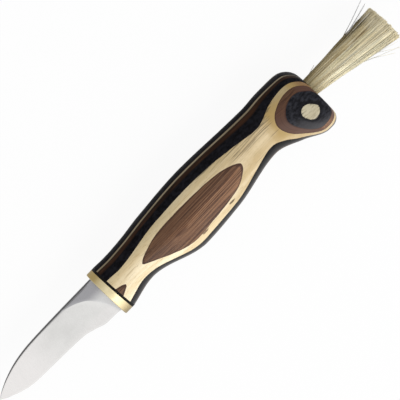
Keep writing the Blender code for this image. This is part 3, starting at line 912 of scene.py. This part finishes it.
class Finish(Nodes):
    """A material in the making: its shader, and its colour as far as it is mixed."""

    def __init__(self, name):
        self.material = bpy.data.materials.new(name)
        self.material.use_nodes = True
        super().__init__(self.material.node_tree)
        self.shader = self.tree.nodes["Principled BSDF"]
        self.colour = None

    def tint(self, colour, mask, share=None):
        """Goes over to another colour where the mask is high, as far as the share says."""
        if share is not None:
            mask = self.times(mask, share)
        self.colour = self.blend(mask, self.colour, colour)

    def bump(self, height, distance):
        node = self.add("Bump")
        self.feed_all(node.inputs, {"Height": height, "Distance": distance})
        self.feed(self.shader.inputs["Normal"], node.outputs["Normal"])

    def done(self, **values):
        """The finished material, its shader given its colour and these values."""
        self.feed_all(self.shader.inputs, {"Base Color": self.colour, **values})
        return self.material


class Wood(Finish):
    """A varnished wood, with its grain and where each point is in its veneer."""

    def __init__(self, name, shift, fineness, inner, outer=None, line=None):
        super().__init__(name)
        self.grain = self.use(grain_group, Shift=shift, Fineness=fineness)
        self.veneer = self.use(veneer_group, Inner=inner, Outer=outer, Line=line)

    def figure(self, dark, pale, low=0.3, high=0.7):
        return self.blend(self.spread(self.grain["Figure"], low, high), dark, pale)

    def cut_across(self, start, full):
        return self.use(end_grain_group, Start=start, Full=full)["Across"]

    def bleed(self, reach, shift):
        over_inner = self.veneer["Over Inner"]
        return self.use(bleed_group, Over_Inner=over_inner, Reach=reach, Shift=shift)["Bleed"]

    def varnish(self, smooth, dull, relief=None):
        """Varnish that follows the grain, with sanding marks under it and smudges on it."""
        wear = self.use(wear_group, Smooth=smooth, Dull=dull)
        self.feed(self.shader.inputs["Roughness"], wear["Roughness"])
        height = self.maths("ADD", relief or self.grain["Relief"], self.times(wear["Marks"], 0.35))
        self.bump(height, distance=0.00002)

    def underside_gloss(self, most):
        """A coat of varnish that is left thick only on the belly's side."""
        coat = self.times(self.spread(self.spinewards(), -0.3, -0.8), most)
        self.feed_all(self.shader.inputs, {"Coat Weight": coat, "Coat Roughness": 0.3})


# Effects that several finishes share

def make_grain_group():
    """Wood grain that runs along the handle: broad figure, fine streaks and short pores."""
    group = Group("wood grain", {"Shift": 0.0, "Fineness": 1.0}, ("Figure", "Streaks", "Pores", "Relief"))
    shift, fineness = group.given["Shift"], group.given["Fineness"]
    wander = group.maths("SUBTRACT", group.pattern(28, 110, 110, 3, 1.0, 0.5), 0.5)
    wander = group.times(wander, 0.0022)
    place = group.vector("ADD", group.place(), group.joined(0.0, wander, wander))
    place = group.vector("MULTIPLY", place, group.joined(1.0, fineness, fineness))
    moved = group.joined(shift, shift, shift)

    def grain(along, across, detail, rough):
        scaled = group.vector("MULTIPLY", place, (along, across, across))
        return group.noise(group.vector("ADD", scaled, moved), detail, rough)

    streaks = grain(55, 1900, 3.0, 0.6)
    pores = group.spread(grain(330, 6500, 1.0, 0.5), 0.60, 0.70)
    relief = group.maths("SUBTRACT", streaks, group.times(pores, 0.6))
    return group.give(Figure=grain(16, 300, 2.0, 0.5), Streaks=streaks, Pores=pores, Relief=relief)


def make_veneer_group():
    """Where a point is in its veneer: masks along its glue lines, and its height over the inner one."""
    group = Group("place in the veneer", {"Inner": 0.0, "Outer": 0.001, "Line": 0.0001},
                  ("Rim", "Outer Line", "Over Inner"))
    height = group.maths("ABSOLUTE", group.parts(group.place())[2])
    above = group.maths("SUBTRACT", height, group.given["Inner"])
    below = group.maths("SUBTRACT", group.given["Outer"], height)
    inner_line, outer_line = (
        group.spread(group.maths("DIVIDE", gap, group.given["Line"]), 1.0, 0.35) for gap in (above, below))
    rim = group.maths("MAXIMUM", inner_line, outer_line)
    return group.give(Rim=rim, Outer_Line=outer_line, Over_Inner=above)


def make_bleed_group():
    """Fibres of the next veneer that the saw and the glue have dragged over the line, in ragged streaks."""
    group = Group("dragged fibres", {"Over Inner": 0.0, "Reach": 0.0004, "Shift": 0.0}, ("Bleed",))
    shift = group.given["Shift"]
    scaled = group.vector("MULTIPLY", group.place(), (44, 2300, 420))
    fibres = group.noise(group.vector("ADD", scaled, group.joined(shift, shift, shift)), 2.0, 0.55)
    limit = group.times(group.spread(fibres, 0.44, 0.70), group.given["Reach"])
    over = group.maths("SUBTRACT", limit, group.given["Over Inner"])
    return group.give(Bleed=group.spread(over, 0.0, 0.0002))


def make_wear_group():
    """Sanding marks under the varnish and smudges on it: a roughness between two values, and a height."""
    group = Group("varnish", {"Smooth": 0.3, "Dull": 0.42}, ("Roughness", "Marks"))
    smudge = group.pattern(90, 160, 160, 5, 3.0)
    marks = group.pattern(420, 5200, 5200, 9)
    mixed = group.maths("ADD", group.times(smudge, 0.7), group.times(marks, 0.3))
    span = group.maths("SUBTRACT", group.given["Dull"], group.given["Smooth"])
    roughness = group.scaled(group.spread(mixed, 0.35, 0.65), span, group.given["Smooth"])
    return group.give(Roughness=roughness, Marks=marks)


def make_end_grain_group():
    """How far the carving cuts across the fibres: nothing along the handle, more on slopes to its ends."""
    group = Group("end grain", {"Start": 0.1, "Full": 0.5}, ("Across",))
    slope = group.maths("ABSOLUTE", group.parts(group.normal())[0])
    return group.give(Across=group.spread(slope, group.given["Start"], group.given["Full"]))


grain_group = make_grain_group()
veneer_group = make_veneer_group()
bleed_group = make_bleed_group()
wear_group = make_wear_group()
end_grain_group = make_end_grain_group()


# Finishes

def knot_mask(wood, middle):
    """One small knot: an oval patch with a ragged rim, about its middle."""
    away = wood.vector("MULTIPLY", wood.vector("SUBTRACT", wood.place(), middle), (560, 1900, 1200))
    away = wood.add("VectorMath", away, operation="LENGTH").outputs["Value"]
    ragged = wood.times(wood.pattern(900, 1800, 1800, 33, rough=0.5), 0.9)
    return wood.spread(wood.maths("ADD", away, ragged), 1.55, 1.15)


def make_blond_wood():
    """Blond birch, pale at the front and browner behind, with dark fibres dragged over it near the neck."""
    wood = Wood("varnished blond birch", 11.0, 1.0, BLOND_FACE)
    across = wood.cut_across(0.03, 0.24)
    x, y, _ = wood.parts(wood.place())
    facing = wood.spinewards()
    rear = wood.spread(x, 0.030, 0.088)
    wood.colour = wood.figure((0.80, 0.635, 0.375), (0.93, 0.80, 0.56))
    wood.tint(wood.figure((0.570, 0.430, 0.230), (0.720, 0.580, 0.360)), rear)
    # Painted shade: darker on faces that turn towards the spine, and a little darker on faces that turn
    # towards the belly
    wood.tint((0.40, 0.315, 0.155), wood.spread(facing, 0.12, 0.62), 0.6)
    wood.tint((0.62, 0.48, 0.29), wood.spread(facing, -0.42, -0.78), 0.65)
    wood.tint((0.47, 0.345, 0.165), wood.spread(wood.grain["Streaks"], 0.54, 0.74), 0.6)
    wood.tint((0.26, 0.17, 0.08), wood.grain["Pores"], 0.35)
    # Darker end grain where the carving cuts across the fibres, made stronger on faces towards the spine as
    # painted shade
    cut = wood.times(across, wood.spread(facing, -0.55, -0.1, 0.15, 0.9))
    wood.tint((0.43, 0.29, 0.10), cut, rear)
    at_butt = wood.times(wood.spread(x, 0.1105, 0.1145), wood.spread(y, -0.002, 0.004))
    wood.tint((0.24, 0.12, 0.05), at_butt, 0.8)
    near_neck = wood.band(x, 0.052, 0.070, 0.094, 0.104)
    on_spine_side = wood.times(near_neck, wood.spread(y, 0.0, 0.004))
    reach = wood.scaled(on_spine_side, 0.0011, 0.00012)
    wood.tint((0.085, 0.070, 0.045), wood.bleed(reach, 4.0), 0.6)
    lone = wood.spread(wood.pattern(34, 1700, 420, 21, 1.0, 0.5), 0.68, 0.77)
    lone = wood.times(lone, wood.scaled(near_neck, 0.6, 0.25))
    wood.tint((0.14, 0.10, 0.055), lone, 0.7)
    at_dip = wood.times(wood.band(x, 0.070, 0.078, 0.090, 0.098), wood.spread(y, 0.0030, 0.0046))
    hairs = wood.spread(wood.pattern(30, 3300, 420, 41, 1.0, 0.5), 0.52, 0.62)
    wood.tint((0.12, 0.085, 0.045), wood.times(hairs, at_dip), 0.75)
    wood.tint((0.10, 0.060, 0.018), knot_mask(wood, KNOT), 0.95)
    wood.tint((0.13, 0.060, 0.026), knot_mask(wood, NOTCH), 0.9)
    wood.varnish(0.34, 0.48)
    return wood.done(Specular_IOR_Level=0.3)


def make_outer_brown_wood():
    """Dyed brown birch: pale and dark fibres along it, and fine lines where the carving cuts across."""
    wood = Wood("varnished outer brown", 37.0, 0.85, OUTER_BROWN_FACE, OUTER_BLACK_FACE, 0.00016)
    across = wood.cut_across(0.10, 0.34)
    along = wood.maths("SUBTRACT", 1.0, across)
    x, y, z = wood.parts(wood.place())
    wood.colour = wood.figure((0.077, 0.028, 0.0105), (0.128, 0.051, 0.0215), 0.32, 0.68)
    fibres = wood.pattern(26, 4900, 420, 17, 2.0, 0.5)
    wood.tint((0.335, 0.170, 0.084), wood.spread(fibres, 0.50, 0.58), wood.times(along, 0.85))
    wood.tint((0.040, 0.013, 0.006), wood.spread(fibres, 0.48, 0.39), wood.times(along, 0.85))
    wood.tint((0.32, 0.21, 0.13), wood.grain["Pores"], wood.times(along, 0.3))
    wood.tint((0.094, 0.045, 0.031), across, 0.75)
    lines = wood.noise(wood.joined(0.0, 0.0, wood.times(z, 5200)), 1.0, 0.5)
    wood.tint((0.052, 0.024, 0.017), wood.spread(lines, 0.48, 0.62), wood.times(across, 0.55))
    wood.tint((0.036, 0.008, 0.003), wood.veneer["Rim"], 0.85)
    # Painted shade towards the front and towards the spine's side
    shaded = wood.maths("MAXIMUM", wood.spread(x, 0.040, 0.026), wood.spread(y, 0.0008, 0.0042))
    wood.tint((0.048, 0.020, 0.009), shaded, wood.times(along, 0.55))
    wood.varnish(0.34, 0.48, wood.times(wood.grain["Relief"], along))
    return wood.done(Specular_IOR_Level=0.25)


def make_brown_wood():
    wood = Wood("varnished deep brown", 53.0, 0.9, BROWN_FACE, BLACK_FACE, 0.0004)
    wood.colour = wood.figure((0.014, 0.006, 0.003), (0.042, 0.018, 0.009))
    wood.tint((0.075, 0.034, 0.017), wood.spread(wood.grain["Streaks"], 0.52, 0.70), 0.6)
    wood.tint((0.006, 0.003, 0.002), wood.veneer["Rim"], 0.6)
    wood.varnish(0.38, 0.50)
    wood.underside_gloss(0.5)
    return wood.done(Specular_IOR_Level=0.06)


def make_black_wood(name, shift, deep, pale, streak_and_sheen):
    """Black dyed birch, with its mottle, its few paler fibres, a painted sheen on faces towards the belly and
    the front, and a deeper black at the cap's glue line.
    """
    wood = Wood(name, shift, 0.8, 0.0, CAP_FACE, 0.0006)
    mottle = wood.pattern(520, 800, 800, 14, 4.0, 0.62)
    wood.colour = wood.blend(wood.spread(mottle, 0.34, 0.70), deep, pale)
    wood.tint(streak_and_sheen, wood.spread(wood.grain["Streaks"], 0.62, 0.78), 0.35)
    # Painted sheen: paler on faces that turn towards the belly and the front
    forwards, upwards, _ = wood.parts(wood.normal())
    painted_sheen = wood.scaled(forwards, 0.6, upwards)
    wood.tint(streak_and_sheen, wood.spread(painted_sheen, -0.15, -0.6), 0.8)
    wood.tint(deep, wood.veneer["Outer Line"], 0.7)
    wood.varnish(0.38, 0.50)
    wood.underside_gloss(0.6)
    return wood.done(Specular_IOR_Level=0.02)


def make_pale_line_wood():
    wood = Wood("varnished pale line", 83.0, 1.1, LINE_FACE, BROWN_FACE, 0.0003)
    wood.colour = wood.figure((0.21, 0.165, 0.10), (0.35, 0.29, 0.19))
    wood.tint((0.12, 0.085, 0.05), wood.spread(wood.grain["Streaks"], 0.52, 0.72), 0.5)
    wood.tint((0.04, 0.026, 0.016), wood.veneer["Rim"], 0.75)
    wood.tint((0.03, 0.022, 0.015), wood.cut_across(0.3, 0.8), 0.8)
    wood.varnish(0.36, 0.48)
    return wood.done(Specular_IOR_Level=0.1)


def make_cap_wood():
    """Blond birch in broad bands, with black fibres dragged over its rim."""
    wood = Wood("varnished cap", 97.0, 1.0, CAP_FACE)
    wood.colour = wood.figure((0.46, 0.405, 0.27), (0.62, 0.56, 0.40))
    wood.tint((0.26, 0.215, 0.14), wood.spread(wood.pattern(170, 900, 900, 26, 3.0), 0.48, 0.68), 0.75)
    wood.tint((0.05, 0.045, 0.04), wood.bleed(0.0003, 9.0), 0.8)
    wood.varnish(0.34, 0.46)
    return wood.done(Specular_IOR_Level=0.25)


def make_steel():
    """Ground steel; painted reflection takes its flat from grey at the spine to bright at the heel and
    lightens the bevel towards the tip and the edge, and painted shade darkens the spine's face.
    """
    metal = Finish("ground steel")
    lines = metal.pattern(9000, 260, 260, 2)
    clouds = metal.pattern(70, 110, 110, 6, 3.0)
    x, y, z = metal.parts(metal.place())
    half = metal.maths("ABSOLUTE", z)
    metal.colour = metal.blend(metal.spread(clouds, 0.3, 0.7), (0.312, 0.309, 0.302), (0.343, 0.340, 0.333))
    # Painted reflection: the bevel is lighter towards the tip and the edge
    near_edge = metal.times(metal.spread(y, -0.001, -0.005), 0.5)
    brighter = metal.maths("MAXIMUM", metal.spread(x, -0.022, -0.044), near_edge)
    metal.tint((0.385, 0.374, 0.368), brighter, 0.9)
    metal.tint((0.25, 0.25, 0.254), metal.spread(lines, 0.45, 0.7), 0.10)
    # Painted reflection on the unground flat: bright at the heel, darker towards the spine
    unground = metal.blend(metal.spread(y, 0.0008, 0.0066), (0.312, 0.311, 0.310), (0.158, 0.157, 0.165))
    metal.tint(unground, metal.spread(half, BLADE_STOCK / 2 * 0.90, BLADE_STOCK / 2 * 0.995), 0.94)
    # Painted shade: the spine's narrow face is dark
    painted_spine_shade = metal.spread(metal.spinewards(), 0.45, 0.85)
    metal.tint((0.03, 0.03, 0.032), painted_spine_shade, metal.spread(half, 0.00092, 0.00062))
    metal.bump(lines, 0.000003)
    return metal.done(Metallic=1.0, Roughness=metal.scaled(lines, 0.10, 0.24))


def make_brass():
    """Sanded brass with patches of tarnish; painted shade darkens it towards the spine and the belly, so that
    it is bright on its sides.
    """
    metal = Finish("sanded brass")
    marks = metal.pattern(7000, 500, 500, 8)
    tarnish = metal.pattern(500, 300, 300, 1, 4.0)
    facing = metal.spinewards()
    # Painted shade on faces that turn towards the belly
    metal.colour = metal.blend(metal.spread(facing, -0.60, 0.05), (0.32, 0.255, 0.15), (0.79, 0.69, 0.445))
    metal.tint((0.50, 0.42, 0.22), metal.spread(tarnish, 0.35, 0.7), 0.35)
    metal.tint((0.38, 0.32, 0.18), metal.spread(marks, 0.5, 0.75), 0.25)
    # Painted shade on faces that turn towards the spine
    metal.tint((0.33, 0.24, 0.085), metal.spread(facing, 0.28, 0.88), 0.9)
    metal.bump(marks, 0.000006)
    return metal.done(Metallic=1.0, Roughness=metal.scaled(marks, 0.14, 0.36))


def make_fibre():
    sheet = Finish("pressed black fibre")
    fibres = sheet.pattern(3500, 900, 900, 4, 3.0)
    mask = sheet.spread(fibres, 0.35, 0.75)
    sheet.colour = sheet.blend(mask, (0.004, 0.0035, 0.003), (0.014, 0.013, 0.011))
    sheet.bump(fibres, 0.000015)
    return sheet.done(Specular_IOR_Level=0.06, Roughness=sheet.scaled(fibres, 0.15, 0.42))


def make_bristle_finish():
    """Natural bristle, each with its own tone: brown to straw at the spine as painted shade, straw to cream at
    the belly, paler still by painted light.
    """
    hair = Finish("natural bristle")
    tone, height = (hair.add("Attribute", attribute_name=name).outputs["Fac"] for name in ("tone", "height"))
    x, y, z = hair.parts(hair.place())
    out = hair.spread(x, BUTT - 0.002, BUTT + 0.014)
    # Painted shade: bristles and their dark strands are browner towards the spine's side of the tuft, by their
    # height round it
    low = hair.spread(height, 0.90, 0.38)
    hair.colour = hair.blend(low, (0.22, 0.145, 0.06), (0.95, 0.80, 0.50))
    hair.tint(hair.blend(low, (0.93, 0.77, 0.45), (1.0, 0.90, 0.64)), hair.spread(tone, 0.0, 0.45))
    hair.tint(hair.blend(low, (1.0, 0.88, 0.55), (1.0, 0.945, 0.70)), hair.spread(tone, 0.5, 0.95))
    flecks = hair.pattern(120, 2600, 2600, 12)
    hair.tint((0.60, 0.48, 0.27), hair.spread(flecks, 0.54, 0.76), 0.12)
    # Long light and dark strands that run out with the tuft, by their turn round its sagging middle
    rise = hair.maths("ADD", y, hair.spread(x, BUTT, BUTT + BRISTLE_LENGTH, 0.0, TUFT_DROOP))
    turn = hair.times(hair.maths("ARCTAN2", z, rise), 10.0)
    strands = hair.noise(hair.joined(turn, hair.times(x, 55.0), 0.0), 1.5, 0.6)
    dark_strand = hair.blend(low, (0.22, 0.155, 0.065), (0.84, 0.69, 0.42))
    hair.tint(dark_strand, hair.spread(strands, 0.46, 0.38), 0.65)
    hair.tint((1.0, 0.96, 0.76), hair.spread(strands, 0.53, 0.62), 0.7)
    hair.tint((0.46, 0.37, 0.19), hair.scaled(out, -0.80, 0.80))
    # Painted shade along the top edge
    hair.tint((0.28, 0.215, 0.10), hair.spread(height, 0.88, 1.0), 0.7)
    # Painted light: the lower half is paler as it runs out
    hair.tint((1.0, 0.93, 0.66), hair.spread(height, 0.56, 0.26), hair.times(out, 0.55))
    hair.tint((1.0, 0.90, 0.64), hair.spread(x, BUTT + 0.031, BUTT + 0.037), 0.8)
    far_out = hair.spread(x, BUTT + 0.0235, BUTT + 0.029)
    hair.tint((1.0, 0.99, 0.99), hair.spread(tone, -0.5, -0.9), far_out)
    # Each bristle is lit mostly as the tuft's own round skin is, except on its cut ends
    outwards = hair.vector("NORMALIZE", hair.joined(0.0, rise, z))
    skin = hair.normal()
    on_side = hair.spread(hair.parts(skin)[0], 0.7, 0.4, 0.0, 2.5)
    both = hair.vector("ADD", hair.vector("SCALE", outwards, None, None, on_side), skin)
    return hair.done(Specular_IOR_Level=0.12, Roughness=hair.scaled(flecks, 0.2, 0.5),
                     Normal=hair.vector("NORMALIZE", both))


def make_epoxy():
    glue = Finish("cured glue")
    cloud = glue.pattern(300, 300, 300, 3, 3.0, 0.5)
    glue.colour = glue.blend(cloud, (0.50, 0.42, 0.26), (0.62, 0.54, 0.36))
    return glue.done(Roughness=glue.scaled(cloud, 0.15, 0.12))


def make_binding_finish():
    wire = Finish("wound brass wire")
    turns = wire.pattern(2500, 60, 60, 3, 1.0, 0.5)
    wire.colour = wire.blend(turns, (0.42, 0.31, 0.13), (0.62, 0.48, 0.24))
    wire.bump(turns, 0.00005)
    return wire.done(Metallic=1.0, Roughness=wire.scaled(turns, 0.2, 0.25))


blond_wood = make_blond_wood()
outer_brown_wood = make_outer_brown_wood()
brown_wood = make_brown_wood()
black_wood = make_black_wood("varnished black", 71.0, (0.0040, 0.0039, 0.0048), (0.0125, 0.0125, 0.0160),
                             (0.020, 0.019, 0.018))
outer_black_wood = make_black_wood("varnished outer black", 131.0, (0.010, 0.010, 0.012),
                                   (0.038, 0.039, 0.048), (0.076, 0.074, 0.078))
pale_line_wood = make_pale_line_wood()
cap_wood = make_cap_wood()
steel = make_steel()
brass = make_brass()
fibre = make_fibre()
bristles = make_bristle_finish()
epoxy = make_epoxy()
binding = make_binding_finish()


# Table, light and camera

def seen_directly(nodes):
    """One where the camera sees the surface itself, or sees it mirrored or through glass."""
    rays = nodes.add("LightPath").outputs
    seen = nodes.maths("ADD", rays["Is Camera Ray"], rays["Is Glossy Ray"], clamp=True)
    return nodes.maths("ADD", seen, rays["Is Transmission Ray"], clamp=True)


def lay_floor():
    """A pale matte table that shows as white, and keeps a little of the knife's shadow."""
    bpy.ops.mesh.primitive_plane_add(size=TABLE_SIZE, location=(0, 0, -TABLE_GAP))
    floor = named("table_top")
    table = Finish("pale_table")
    table.colour = (0.85, 0.85, 0.85, 1.0)
    white = table.add("Emission", (1.0, 1.0, 1.0, 1.0), 1.0)
    share = table.times(seen_directly(table), 0.93)
    mixed = table.add("MixShader", share, table.shader.outputs[0], white.outputs[0])
    table.feed(table.tree.nodes["Material Output"].inputs["Surface"], mixed.outputs[0])
    floor.data.materials.append(table.done(Roughness=0.7, Specular_IOR_Level=0.1))


def light_room():
    """An even pale room, a little brighter where it is seen or mirrored, and a soft box by the belly."""
    world = bpy.data.worlds.new("studio")
    bpy.context.scene.world = world
    world.use_nodes = True
    room = Nodes(world.node_tree)
    strength = room.scaled(seen_directly(room), 0.29, 0.61)
    background = world.node_tree.nodes["Background"].inputs
    room.feed_all(background, {"Color": (1.0, 1.0, 1.0, 1.0), "Strength": strength})
    lamp = bpy.data.lights.new("window_light", "AREA")
    lamp.shape = "RECTANGLE"
    lamp.size = LAMP_LENGTH
    lamp.size_y = LAMP_WIDTH
    lamp.energy = LAMP_POWER
    away = Vector((0, -math.sin(LAMP_ANGLE), math.cos(LAMP_ANGLE)))
    box = link(bpy.data.objects.new("window_light", lamp))
    box.location = AXIS + Vector((VIEW_MIDDLE, 0, 0)) + away * LAMP_DISTANCE
    box.rotation_euler = (-away).to_track_quat("-Z", "Y").to_euler()


def set_camera():
    """A camera at the photograph's angle, with a frame as wide at the knife as the photograph's."""
    along = Vector((1, 0, 0))
    up = Vector((0, math.cos(VIEW_LEAN), -math.sin(VIEW_LEAN)))
    towards = Vector((0, math.sin(VIEW_LEAN), math.cos(VIEW_LEAN)))
    right = along * math.cos(VIEW_ROLL) - up * math.sin(VIEW_ROLL)
    top = along * math.sin(VIEW_ROLL) + up * math.cos(VIEW_ROLL)
    place = AXIS + Vector((VIEW_MIDDLE, 0, 0)) + towards * VIEW_DISTANCE
    view = bpy.data.cameras.new("view")
    view.sensor_width = SENSOR_WIDTH
    view.lens = SENSOR_WIDTH * VIEW_DISTANCE / VIEW_WIDTH
    view.clip_end = 20
    camera = link(bpy.data.objects.new("view", view))
    camera.matrix_world = Matrix.Translation(place) @ Matrix((right, top, towards)).transposed().to_4x4()
    bpy.context.scene.camera = camera


set_camera()
light_room()
lay_floor()
make_handle()
make_bolster_and_liner()
make_blade()
make_brush()
for node, finish in (("tang_epoxy", epoxy), ("brush_glue", epoxy), ("tuft_binding", binding)):
    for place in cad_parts[node].material_slots:
        place.material = finish

bpy.context.scene.view_settings.view_transform = "Standard"
